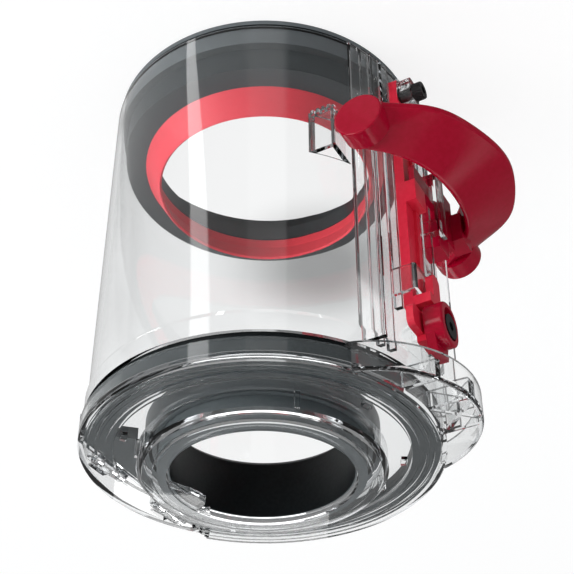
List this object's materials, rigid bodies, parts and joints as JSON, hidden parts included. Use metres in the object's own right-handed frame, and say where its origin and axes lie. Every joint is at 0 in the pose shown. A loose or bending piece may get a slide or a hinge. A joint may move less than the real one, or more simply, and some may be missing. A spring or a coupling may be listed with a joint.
{
  "type": "vacuum cleaner dust bin",
  "caption": "Clear round dust bin of a stick vacuum cleaner: open rim with a red wiper, hinged ring-shaped base with a sealed inlet, and a sliding red lever that frees the base.",
  "frame": {"origin": "centre of the open rim's end face, on the bin's axis", "axes": "+Z along the bin's axis from the open rim to the hinged base, +X to the runner, the lever and the base catch, with the base hinge on the -X side"},
  "size_m": [0.1555, 0.1204, 0.156],
  "materials": {
    "clear": "clear moulded polycarbonate, glossy",
    "dark_grey": "dark grey moulded plastic, satin",
    "red": "red moulded plastic, glossy",
    "red_rubber": "red soft rubber, satin",
    "black_rubber": "black rubber, satin",
    "grey_rubber": "dark grey rubber, satin",
    "black_screw": "blackened steel",
    "steel": "plain steel pin"
  },
  "bodies": {
    "bin": {"bin_shell": "clear", "collar": "dark_grey", "rim_seal": "black_rubber", "wiper": "red_rubber", "hinge_pin_left": "steel", "hinge_pin_right": "steel", "rod_stop": "clear", "stop_screw": "black_screw", "rod_guide": "clear", "carriage_keeper": "clear"},
    "base": {"base_door": "clear", "base_seal": "black_rubber", "door_liner": "grey_rubber", "inlet_collar": "dark_grey", "inlet_sleeve": "black_rubber"},
    "slider": {"release_lever": "red", "push_rod": "red", "catch_actuator": "red", "actuator_screw": "black_screw"}
  },
  "joints": [
    {"name": "base_hinge", "type": "hinge", "parent": "bin", "child": "base", "pos_m": [-0.0485, 0, 0.1457], "axis": [0, -1, 0], "range_deg": [0, 95]},
    {"name": "lever_slide", "type": "slide", "parent": "bin", "child": "slider", "axis": [0, 0, 1], "range_m": [0, 0.006]}
  ]
}
